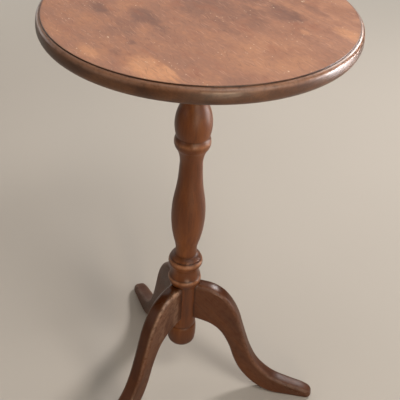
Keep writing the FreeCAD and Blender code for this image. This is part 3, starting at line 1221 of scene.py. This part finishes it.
            # The pale band near the root: rubbing with painted highlight
            past = (vert.co.x - self.rub_and_highlight_start) / (self.rub_and_highlight_end - self.rub_and_highlight_start)
            in_rub_and_highlight_band = 0.0 < past < 1.0 and vert.co.y > 0 and up > 0
            rubbed = self.rub_and_highlight * (1.0 - past) if in_rub_and_highlight_band else 0.0
            on_arris = max(0.0, 1.0 - abs(abs(across) - self.arris_lean) / self.arris_band)
            vert[wear_and_highlight] = (self.arris_wear + rubbed) * on_arris
            upward = max(0.0, (up - self.knee_tilt) / (1.0 - self.knee_tilt))
            vert[smooth] = upward * min(1.0, max(0.0, (self.knee_end - vert.co.x) / self.knee_fade))
            out = vert.co.xy.length - self.root_radius
            # Painted shade at the root, where the leg meets the column
            vert[dirt_and_shade] = self.root_shade * max(0.0, 1.0 - out / self.root_shade_width)


@dataclass(frozen=True)
class Lamp:
    """A soft lamp. Its stand and its aim are each a bearing, a distance from the axis and a height."""

    name: str
    stand: Triple
    size: Pair
    power: float
    colour: Colour
    aim: Triple = (0.0, 0.0, 0.3)
    beam: float = 180.0


@dataclass
class Studio:
    """Pale floor, soft lamps and the camera."""

    floor_size: float = 6.0
    floor_roughness: float = 0.9
    floor_gloss: float = 0.1
    floor_lift: float = 1.03
    floor_colour: Colour = srgb(190, 183, 173)
    backdrop_colour: Colour = srgb(198, 190, 178)
    backdrop_start: float = 0.8
    backdrop_end: float = 2.0
    room_colour: Colour = (0.75, 0.75, 0.77)
    room_glow: float = 0.04
    eye: Triple = (0.08927, -0.70145, 0.79566)
    heading: float = math.radians(8.5936)
    pitch: float = math.radians(35.489)
    roll: float = math.radians(2.6528)
    focal_pixels: float = 795.9
    frame_pixels: float = 400.0
    middle_pixel: Pair = (174.5, 189.9)
    sensor: float = 36.0
    clip: Pair = (0.01, 50.0)
    lamps: tuple[Lamp, ...] = (
        Lamp("key", (-55, 0.9, 1.86), (0.7, 0.45), 8.4, (1.0, 0.97, 0.93)),
        Lamp("side", (-48, 1.62, 1.09), (0.5, 0.9), 9.0, (1.0, 0.95, 0.89)),
        Lamp("front", (-73, 1.8, 0.42), (0.22, 0.55), 1.7, (1.0, 0.8, 0.58), (0, 0, 0.45), 70.0),
        Lamp("window", (48, 1.45, 1.22), (0.36, 0.34), 19.0, (1.0, 0.96, 0.94)),
        Lamp("window_low", (6, 1.8, 0.4), (0.28, 0.5), 0.8, (1.0, 0.96, 0.94), (0, 0, 0.45), 70.0),
        Lamp("window_rim", (6, 1.8, 0.4), (0.7, 0.6), 2.0, (1.0, 0.95, 0.95), (-60, 0.3, 0.6), 24.0),
        Lamp("behind", (100, 1.3, 1.6), (1.6, 0.9), 4.0, (1.0, 0.94, 0.88)),
        Lamp("wall", (105, 2.2, 0.5), (2.6, 0.9), 4.0, (1.0, 0.95, 0.9)),
        Lamp("back", (140, 1.8, 0.75), (1.2, 0.9), 5.0, (1.0, 0.95, 0.9)),
        Lamp("above", (0, 0.0, 2.2), (1.0, 1.0), 4.0, (1.0, 0.97, 0.93)),
        Lamp("left", (-150, 1.7, 0.8), (1.4, 0.9), 3.4, (1.0, 0.9, 0.8)),
    )

    def floor(self) -> None:
        """Lay the floor."""
        bm = bmesh.new()
        bmesh.ops.create_grid(bm, x_segments=1, y_segments=1, size=self.floor_size)
        mesh = bpy.data.meshes.new("floor")
        bm.to_mesh(mesh)
        bm.free()
        sheet = NodeSheet("pale_floor")
        soft = sheet.noise(sheet.place(), (2, 2, 2), 2)
        light = tuple(min(1.0, part * self.floor_lift) for part in self.floor_colour)
        colour = sheet.ramp(soft, ((0.3, self.floor_colour), (0.7, light)))
        sheet.surface(colour, self.floor_roughness, self.floor_gloss)
        far = sheet.spread(sheet.length(sheet.place()), self.backdrop_start, self.backdrop_end)
        glow = sheet.tree.nodes.new("ShaderNodeEmission")
        glow.inputs["Color"].default_value = (*self.backdrop_colour, 1.0)
        self.show_backdrop(sheet.tree, sheet.shader.outputs["BSDF"], glow.outputs[0], sheet.output, far)
        mesh.materials.append(sheet.material)
        floor = put_in_scene("floor", mesh)

    def show_backdrop(
        self,
        tree: bpy.types.NodeTree,
        lit: Socket,
        shown: Socket,
        output: bpy.types.Node,
        share: Feed = 1.0,
    ) -> None:
        """Let the camera alone see the pale backdrop in place of the lit surface.

        Args:
            tree: The nodes of the floor or the world.
            lit: The shader that lights and takes light.
            shown: The shader that the camera sees.
            output: The output node.
            share: How much of it the camera sees.
        """
        ray = tree.nodes.new("ShaderNodeLightPath").outputs["Is Camera Ray"]
        factor = tree.nodes.new("ShaderNodeMath")
        factor.operation = "MULTIPLY"
        tree.links.new(ray, factor.inputs[0])
        if isinstance(share, Socket):
            tree.links.new(share, factor.inputs[1])
        else:
            factor.inputs[1].default_value = share
        mixer = tree.nodes.new("ShaderNodeMixShader")
        tree.links.new(factor.outputs[0], mixer.inputs[0])
        tree.links.new(lit, mixer.inputs[1])
        tree.links.new(shown, mixer.inputs[2])
        tree.links.new(mixer.outputs[0], output.inputs["Surface"])

    def compass(self, bearing: float, distance: float, level: float) -> Triple:
        """Find a place by its bearing as the camera sees it.

        Args:
            bearing: Degrees from the camera's right towards the far side.
            distance: Distance from the table's axis.
            level: Height above the floor.

        Returns:
            The place.
        """
        angle = self.heading + math.radians(bearing)
        return distance * math.cos(angle), distance * math.sin(angle), level

    def hang(self, lamp: Lamp) -> None:
        """Hang one lamp.

        Args:
            lamp: The lamp.
        """
        place, aim = Vector(self.compass(*lamp.stand)), Vector(self.compass(*lamp.aim))
        data = bpy.data.lights.new(lamp.name, "AREA")
        data.shape = "ELLIPSE"
        data.size, data.size_y = lamp.size
        data.energy = lamp.power
        data.color = lamp.colour
        data.spread = math.radians(lamp.beam)
        item = put_in_scene(lamp.name, data)
        item.location = place
        item.rotation_euler = (aim - place).to_track_quat("-Z", "Y").to_euler()

    def lights(self) -> None:
        """Hang the lamps and set the room's glow."""
        for lamp in self.lamps:
            self.hang(lamp)
        world = bpy.data.worlds.new("soft_room")
        world.use_nodes = True
        background = world.node_tree.nodes["Background"]
        background.inputs["Color"].default_value = (*self.room_colour, 1.0)
        background.inputs["Strength"].default_value = self.room_glow
        pale = world.node_tree.nodes.new("ShaderNodeBackground")
        pale.inputs["Color"].default_value = (*self.backdrop_colour, 1.0)
        output = world.node_tree.nodes["World Output"]
        self.show_backdrop(world.node_tree, background.outputs[0], pale.outputs[0], output)
        bpy.context.scene.world = world

    def camera(self) -> None:
        """Set the camera where the photograph was taken from."""
        data = bpy.data.cameras.new("camera")
        data.sensor_width = self.sensor
        data.lens = self.focal_pixels / self.frame_pixels * self.sensor
        data.shift_x = 0.5 - self.middle_pixel[0] / self.frame_pixels
        data.shift_y = self.middle_pixel[1] / self.frame_pixels - 0.5
        data.clip_start, data.clip_end = self.clip
        camera = put_in_scene("camera", data)
        camera.matrix_world = (
            Matrix.Translation(self.eye)
            @ Matrix.Rotation(self.heading, 4, "Z")
            @ Matrix.Rotation(math.pi / 2 - self.pitch, 4, "X")
            @ Matrix.Rotation(self.roll, 4, "Z")
        )
        bpy.context.scene.camera = camera


def dress_node(frame: dict, node: str, material: bpy.types.Material) -> None:
    """Give a CAD node that stays in view a finish.

    Args:
        frame: The loaded frame.
        node: The node's name.
        material: The finish.
    """
    mesh = frame["nodes"][node].data
    mesh.materials.clear()
    mesh.materials.append(material)
    LOG.info("%s: CAD shape with its own finish", node)


def top_finishes(turn: float) -> dict[str, WornTop]:
    """Choose the field finish of each board.

    Args:
        turn: Turn that lays the grain along X.

    Returns:
        The finishes by board.
    """
    front = (
        Patch(80, -106, 34, 18, 0.25),
        Patch(86, -93, 30, 3, 0.14),
        Patch(98, -98, 22, 2, 0.16),
        Patch(28, -133, 18, 9, 0.18),
        Patch(40, -114, 10, 10, -0.12),
        Patch(30, -93, 5, 6, -0.14),
        Patch(0, -100, 15, 12, -0.06),
    )
    middle = (
        Patch(38, 62, 36, 15, -0.2),
        Patch(5, 15, 62, 38, -0.12),
        Patch(-15, -54, 38, 11, -0.2),
        Patch(-5, -78, 22, 14, -0.08),
        Patch(-50, -80, 22, 8, -0.2),
        Patch(105, -5, 45, 55, 0.06),
        Patch(132, 5, 15, 26, 0.07),
        Patch(86, 55, 8, 5, 0.12),
        Patch(132, -58, 14, 24, -0.07),
    )
    back = (
        Patch(110, 88, 22, 11, 0.18),
        Patch(55, 98, 22, 7, -0.11),
        Patch(30, 90, 9, 6, -0.06),
    )
    front_specks = ((10.7, -105, 2.4), (-40, -117, 1.8), (18, -139, 1.6))
    middle_specks = ((27.7, 65.7, 1.8), (-38, -48, 1.4), (23, 9, 1.2), (88, -8, 1.6), (138, -7, 1.8))
    # The back pair of pale specks is a painted highlight at the far edge
    back_glint = ((29, 100, 2.6), (28.6, 102.5, 2.2))
    return {
        "front": WornTop("front_board_field", turn, 0.03, front, front_specks, (0.31, 0.12, 0.0)),
        "middle": WornTop("middle_board_field", turn, 0.02, middle, middle_specks),
        "back": WornTop("back_board_field", turn, 0.05, back, back_glint, (0.87, 0.44, 0.0)),
    }


def leg_finish(name: str, angle: float, shift: float) -> DarkWood:
    """Choose a leg's finish, with its grain along the leg's slope.

    Args:
        name: The leg's name.
        angle: Its bearing in degrees.
        shift: Place in the grain, so that no two legs are alike.

    Returns:
        The finish.
    """
    slope = Matrix.Rotation(math.radians(LEG_SLOPE), 3, "Y").inverted()
    turn = slope @ Matrix.Rotation(-math.radians(angle), 3, "Z")
    return DarkWood(
        f"{name}_leg_wood", tuple(turn.to_euler()), (shift, 0.0, 0.0),
        deep=srgb(58, 27, 8), middle=srgb(76, 38, 13), pale=srgb(95, 51, 20),
        # Pale colour of scuffed arrises and of the front leg's painted highlight
        worn_and_highlight=srgb(188, 152, 126), scuff=(0.25, 0.62), rubbed=0.15, gloss=0.3,
    )


def main() -> None:
    """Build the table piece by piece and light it."""
    logging.basicConfig(level=logging.INFO, format="%(name)s: %(message)s")
    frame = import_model()
    scene = bpy.context.scene
    scene.view_settings.view_transform = "Standard"
    top = TableTop()
    along = (0.0, 0.0, top.grain_turn)
    upright = (0.0, math.radians(90.0), 0.0)
    edge = DarkWood(
        "edge_wood", along, deep=srgb(54, 31, 17), middle=srgb(80, 49, 28), pale=srgb(110, 71, 41),
        # Pale colour of the rim's upper band: scuffs with painted highlight
        worn_and_highlight=srgb(172, 126, 98), scuff=(0.1, 0.6), roughness=0.36, gloss=0.6,
    )
    top.build(top_finishes(top.grain_turn), edge)
    # Pale colour of the ring crests: scuffs with painted highlight
    Column().build(DarkWood("column_wood", upright, worn_and_highlight=srgb(172, 122, 88), scuff=(0.1, 0.7)))
    # The front leg's top arris gets the pale band with painted highlight
    for index, (name, rub_and_highlight) in enumerate((("right", 0.0), ("back", 0.0), ("front", 0.85))):
        angle = LEG_SPACING * index
        Leg(name, angle, rub_and_highlight=rub_and_highlight).build(leg_finish(name, angle, LEG_GRAIN_STEP * index))
    dress_node(frame, "mounting_block", DarkWood("block_wood", along, (0.2, 0.1, 0.0)).material())
    peg, steel = BareWood().material(), DullSteel().material()
    for node in frame["nodes"]:
        if node.startswith("dowel") or node == "spigot_wedge":
            dress_node(frame, node, peg)
        elif node.startswith("block_screw"):
            dress_node(frame, node, steel)
    studio = Studio()
    studio.floor()
    studio.lights()
    studio.camera()


if __name__ == "__main__":
    main()
